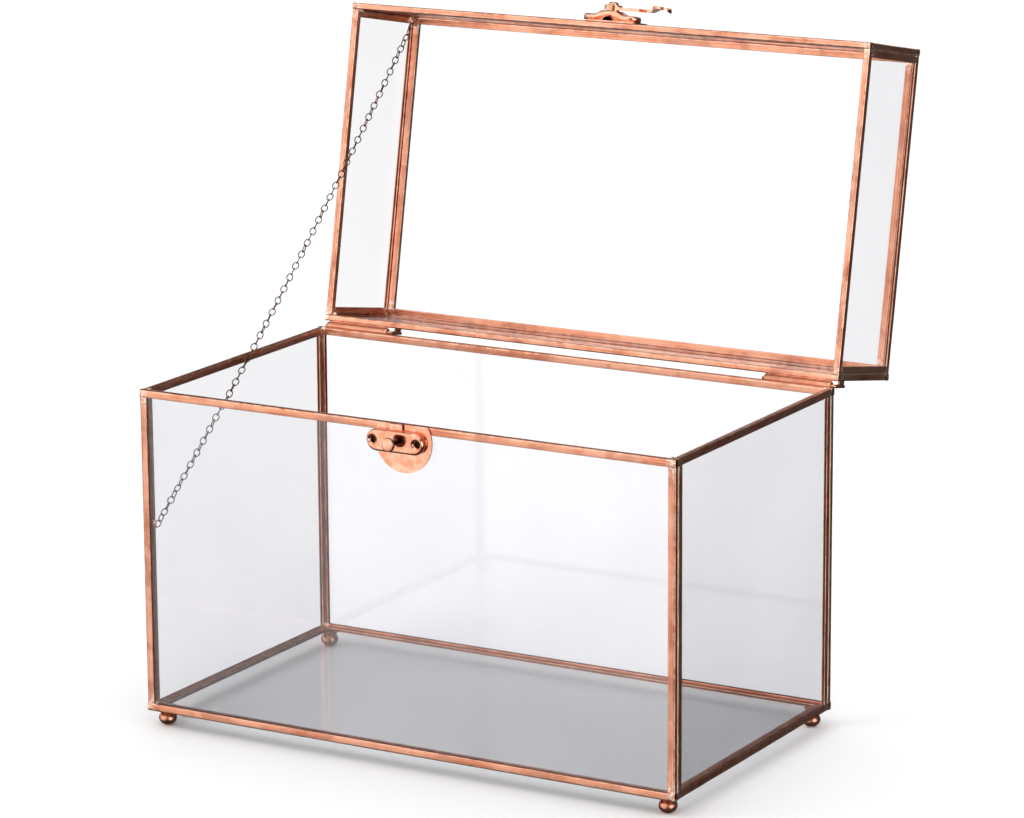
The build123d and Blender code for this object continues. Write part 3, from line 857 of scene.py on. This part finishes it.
def hingeRodShells(hand):
    # the rod through the tube: a level run with both ends bent up the back of the lid
    low, high = shutBox(f"hinge_rod_{hand}")
    centreY, centreZ = hingePlace[1], hingePlace[2]
    left, right = low[0] + hinge["rod"], high[0] - hinge["rod"]
    top, bend = centreZ + hinge["legLength"], hinge["bendRadius"]
    quarter = np.linspace(0.0, np.pi / 2, 7)
    rise = np.linspace(top, centreZ + bend, 10)[:-1]
    legLeft = np.stack((np.full_like(rise, left), rise), axis=1)
    inLeft, inRight, high = left + bend, right - bend, centreZ + bend
    bendLeft = np.stack((inLeft - bend * np.cos(quarter), high - bend * np.sin(quarter)), axis=1)
    run = np.stack((np.linspace(left + bend, right - bend, 24)[1:-1], np.full(22, centreZ)), axis=1)
    bendRight = np.stack((inRight + bend * np.sin(quarter), high - bend * np.cos(quarter)), axis=1)
    legRight = np.stack((np.full_like(rise, right), rise[::-1]), axis=1)
    line = np.concatenate((legLeft, bendLeft, run, bendRight, legRight))
    centres = np.stack((line[:, 0], np.full(len(line), centreY), line[:, 1]), axis=1)
    shells = [carried(centres, hinge["rod"], 14)]
    lidBack = shutBox("lid_rear_edging")[1][1]
    for index, x in enumerate((left, right)):
        middle = (lidBack + centreY) / 2 - 0.1
        z = centreZ + 6.2
        sizes = (0.88, (centreY - lidBack) / 2 + 0.5, 2.7)
        shells.append(solderLump((x, middle, z), sizes, 1.0 + 2.0 * index, 24))
    along = np.linspace(left + 2.0, right - 2.0, 30)
    bead = np.stack((along, np.full_like(along, centreY - 2.15), np.full_like(along, centreZ + 0.75)), axis=1)
    shells.append(carried(bead, 0.30 + 0.05 * slowWave(along, 4.0, 3.0), 8))
    return placed(shells, "lid")


for hand in ("left", "right"):
    makePiece(f"tube_{hand}", hingeTubeShells(hand), "body", "hinge_copper", [f"hinge_tube_{hand}"])
    makePiece(f"rod_{hand}", hingeRodShells(hand), "lid", "hinge_copper", [f"hinge_rod_{hand}"])
print("hinges made")


stamped = {
    "edgeRound": 1.1,
    "sheet": 0.7,
    "holeSpacing": 21.2,
    "hole": 1.45,
    "countersink": 2.5,
    "sink": 0.75,  # how far the metal is pressed in round a hole
    "flatRise": 2.8,
    "raisedHalf": 6.9,
    "ramp": 4.2,
    "archHalf": 2.7,
    "archHeight": 2.0,
    "middleHole": 1.35,
}


def fadeBetween(value, low, high):
    # 0 below low, 1 above high and a smooth S between: t squared times (3 - 2 t)
    share = np.clip((value - low) / (high - low), 0.0, 1.0)
    return share**2 * (3 - 2 * share)


def stampedPlate(node):
    # a pressed oval plate: rings that shrink from its skirt to the line between its two round ends;
    # the height rises up the skirt, turns over a quarter circle and is pressed in round each hole, down into
    # a pit that the material paints near black as painted shade
    low, high = shutBox(node)
    middle = (low + high) / 2
    end = (high[2] - low[2]) / 2
    spine = (high[0] - low[0]) / 2 - end
    top = high[1] - low[1]
    arc = np.linspace(-np.pi / 2, np.pi / 2, 25)
    run = np.linspace(1.0, -1.0, 61)[1:-1]
    flat = np.full_like(run, np.pi / 2)
    angle = np.concatenate((arc, flat, arc + np.pi, flat + np.pi, arc[:1] + 2 * np.pi))
    ends = np.ones_like(arc)
    spineX = spine * np.concatenate((ends, run, -ends, -run, ends[:1]))
    bend = np.linspace(0.0, np.pi / 2, 7)
    corner = stamped["edgeRound"]
    inset = np.concatenate(((0.0,), corner * (1 - np.cos(bend)), np.linspace(corner + 0.15, end, 18)))
    share = np.concatenate(((0.0,), np.sin(bend), np.ones(18)))
    radius = (end - inset)[:, None]
    x = spineX[None, :] + radius * np.cos(angle)[None, :]
    z = radius * np.sin(angle)[None, :]
    raised = fadeBetween(stamped["raisedHalf"] - np.abs(x), -0.6, stamped["ramp"])
    height = stamped["flatRise"] + (top - stamped["flatRise"]) * raised
    rise = height - corner + corner * share[:, None]
    arch = np.sqrt(np.clip(1 - (x / stamped["archHalf"]) ** 2, 0.0, 1.0))
    rise[0] = (stamped["archHeight"] * arch if top > stamped["flatRise"] + 0.5 else 0 * arch)[0]
    fromHole = np.hypot(np.abs(x) - stamped["holeSpacing"] / 2, z)
    pressed = 1 - fadeBetween(fromHole, stamped["hole"], stamped["countersink"])
    # the pit's mask also marks where the material paints near black as shade
    pitAndShade = 1 - fadeBetween(fromHole, stamped["hole"] - 0.25, stamped["hole"])
    pitDepth = stamped["flatRise"] - stamped["sink"] - 0.75
    rise = rise - (stamped["sink"] * pressed + pitDepth * pitAndShade) * (share[:, None] > 0)
    points = np.stack((middle[0] + x, high[1] - rise, middle[2] + z), axis=-1)
    distance = np.concatenate(([0.0], np.cumsum(np.abs(np.diff(inset)) + np.abs(np.diff(share)))))
    return gridShell(points, distance[:, None], angle[None, :] * end, 0.6 * (1 - share[:, None]), pitAndShade)


def pressSheet(piece, thickness):
    # gives a one-sided surface its sheet thickness, towards its hollow side
    solid = piece.modifiers.new("sheet", "SOLIDIFY")
    solid.thickness = thickness * toMetres
    solid.offset = -1.0
    solid.use_even_offset = False


def knobShell():
    # a lathe shape along the front's own direction: flange, neck, and a thick head with a low dome; all but
    # the head's face is painted near black as shade
    low, high = shutBox("keeper_knob")
    reach = high[1] - low[1]
    radius = (high[0] - low[0]) / 2
    ease = np.linspace(0.0, np.pi / 2, 6)
    under = np.stack((radius - 0.45 + 0.45 * np.sin(ease), reach - 1.6 + 0.45 - 0.45 * np.cos(ease)), axis=1)
    over = np.stack((radius - 0.55 + 0.55 * np.cos(ease), reach - 0.67 + 0.55 * np.sin(ease)), axis=1)
    dome = np.array(((0.72 * radius, reach - 0.06), (0.4 * radius, reach - 0.02), (0.0, reach)))
    foot = np.array(((0.0, 0.0), (2.1, 0.0), (2.1, 0.6), (1.3, 0.62), (1.3, reach - 1.6)))
    profile = np.concatenate((foot, under, over, dome))
    centre = ((low[0] + high[0]) / 2, high[1], (low[2] + high[2]) / 2)
    shell = turnedSurface(centre, (0, -1, 0), profile, 40)
    # painted shade: flange, neck and the head's sides get the near-black pit colour; only the face of the
    # head keeps its copper
    shell["joint"] = 0.85 * (high[1] - shell["points"][:, 1] < reach - 0.3)
    return shell


for name in ("keeper_backplate", "latch_backplate", "latch_lever", "latch_rivet", "latch_washer"):
    cadNodes[name].data.materials.clear()
    cadNodes[name].data.materials.append(finishes["latch_copper"])
plateShell = [stampedPlate("keeper_plate")]
plate = makePiece("keeper_oval", plateShell, "body", "latch_copper", ["keeper_plate"], "stamped")
pressSheet(plate, stamped["sheet"])
bridgeShell = placed([stampedPlate("latch_bridge")], "lid")
bridge = makePiece("latch_arch", bridgeShell, "lid", "latch_copper", ["latch_bridge"], "stamped")
pressSheet(bridge, stamped["sheet"])
makePiece("knob", [knobShell()], "body", "latch_copper", ["keeper_knob"], "stamped")
print("keeper and latch finished")


chain = {
    "sag": 4.0,
    "wire": 0.25,  # radius of the wire
    "pitch": 3.27,  # from one link to the next
    "halfWidth": 1.32,
    "play": 0.04,
    "lean": 34.0,  # degrees that the middle of the chain is twisted
    "leanRun": 30.0,  # how far from an end that twist builds up
    "wobble": 20.0,  # degrees that links lie off square, at most
    "segments": 16,
    "sides": 6,
}
chainX = joints["chain_lower_swing"]["pos_m"][0] / toMetres


def chainPoint(share):
    # a point (y, z) on the sagging line between the two eyes; share runs from 0 to 1
    lower = np.array(joints["chain_lower_swing"]["pos_m"])[1:] / toMetres
    upper = np.array(joints["chain_upper_swing"]["pos_m"])[1:] / toMetres
    span = np.linalg.norm(upper - lower)
    down = np.array((upper[1] - lower[1], lower[0] - upper[0])) / span
    share = np.asarray(share, float)[..., None]
    return lower + (upper - lower) * share + down * 4 * chain["sag"] * share * (1 - share)


def linkShells(share, phase, seed):
    # links between neighbouring shares of the chain: a small circle carried round an oval whose
    # long way lies along the chain, each link's plane a quarter turn from the one before
    points = chainPoint(share)
    start, end = points[:-1], points[1:]
    count = len(start)
    middle = np.column_stack((np.full(count, chainX), (start + end) / 2))
    ahead = np.column_stack((np.zeros(count), end - start))
    pitch = np.linalg.norm(ahead, axis=1)
    ahead = ahead / pitch[:, None]
    length = np.linalg.norm(chainPoint(1.0) - chainPoint(0.0))
    fromEnd = np.minimum(share[:-1], 1 - share[:-1]) * length
    lean = np.radians(chain["lean"]) * np.clip(fromEnd / chain["leanRun"], 0.0, 1.0)
    draw = np.random.default_rng(seed)
    quarter = np.where((np.arange(count) + phase) % 2 == 1, 0.0, np.pi / 2)
    turn = quarter - lean + np.radians(chain["wobble"]) * draw.uniform(-1, 1, count)
    side = np.tile((1.0, 0.0, 0.0), (count, 1))
    across = side * np.cos(turn)[:, None] + np.cross(side, ahead) * np.sin(turn)[:, None]
    out = np.cross(ahead, across)
    big = np.linspace(0.0, 2 * np.pi, chain["segments"] + 1)
    small = np.linspace(0.0, 2 * np.pi, chain["sides"] + 1)
    wire, halfWidth = chain["wire"], chain["halfWidth"]
    halfLength = (pitch / 2 + wire + chain["play"])[:, None, None]
    reach = wire * np.cos(small)[None, None, :]
    lengthways = (halfLength + reach) * np.cos(big)[None, :, None]
    sideways = (halfWidth + reach) * np.sin(big)[None, :, None]
    shape = (
        middle[:, None, None, :]
        + lengthways[..., None] * ahead[:, None, None, :]
        + sideways[..., None] * across[:, None, None, :]
        + (wire * np.sin(small))[None, None, :, None] * out[:, None, None, :]
    )
    ridge = (0.5 + 0.5 * np.cos(small))[None, :]
    around = small[None, :] * 0.3
    return [gridShell(link, big[:, None] * 1.5, around + 5.0 * i, ridge) for i, link in enumerate(shape)]


def shareOf(point):
    # the share of the chain nearest to a point (y, z)
    shares = np.linspace(0.0, 1.0, 4001)
    return shares[np.linalg.norm(chainPoint(shares) - point, axis=1).argmin()]


runStart = shareOf(np.array(joints["chain_run_swing"]["pos_m"])[1:] / toMetres)
runBox = [np.array(corner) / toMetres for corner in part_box("chain_run")]
runEnd = shareOf(np.array((runBox[1][1], runBox[1][2])) - chain["wire"])
fullLength = np.linalg.norm(np.diff(chainPoint(np.linspace(0, 1, 400)), axis=0), axis=1).sum()
for seed, (name, first, last) in enumerate(
    (("chain_lower", 0.0, runStart), ("chain_run", runStart, runEnd), ("chain_upper", runEnd, 1.0))
):
    pairs = round((last - first) * fullLength / (2 * chain["pitch"]))
    shares = np.linspace(first, last, 2 * pairs + 1)
    makePiece(f"{name}_links", linkShells(shares, 0, seed), name, "chain_bronze", [name], sharpAngle=180.0)

for name, near, beyond, body, seed in (
    ("chain_eye_body", 0.0, -1.0, "body", 11),
    ("chain_eye_lid", 1.0, 2.0, "lid", 12),
):
    step = chain["pitch"] / fullLength
    shares = np.sort(np.array((near, near + (beyond - near) * step)))
    makePiece(f"{name}_link", linkShells(shares, 1, seed), body, "chain_bronze", [name], sharpAngle=180.0)
    centre = chainPoint(shares.mean())
    wall = shutBox("body_left_edging")[1][0]
    drop = solderLump((wall + 0.3, centre[0], centre[1] - 0.6), (0.9, 0.9, 2.2), 1.0 * seed, 24)
    makePiece(f"{name}_solder", [drop], body, "chain_bronze", finish="solder")
print("chain linked")



def makeFloor():
    # a square sheet, its far edges out of sight
    reach = 12.0
    share = np.linspace(-reach, reach, 13)
    x, y = np.meshgrid(share, share)
    points = np.stack((x, y, np.zeros_like(x)), axis=-1).reshape(-1, 3)
    mesh = bpy.data.meshes.new("floor")
    mesh.from_pydata(points.tolist(), [], gridFaces(13, 13).tolist())
    floor = bpy.data.objects.new("floor", mesh)
    bpy.context.scene.collection.objects.link(floor)
    mesh.materials.append(floorPaper("floorPaper"))
    floor.visible_glossy = False


makeFloor()
makeCamera()
makeStudio()
print("camera and light set")
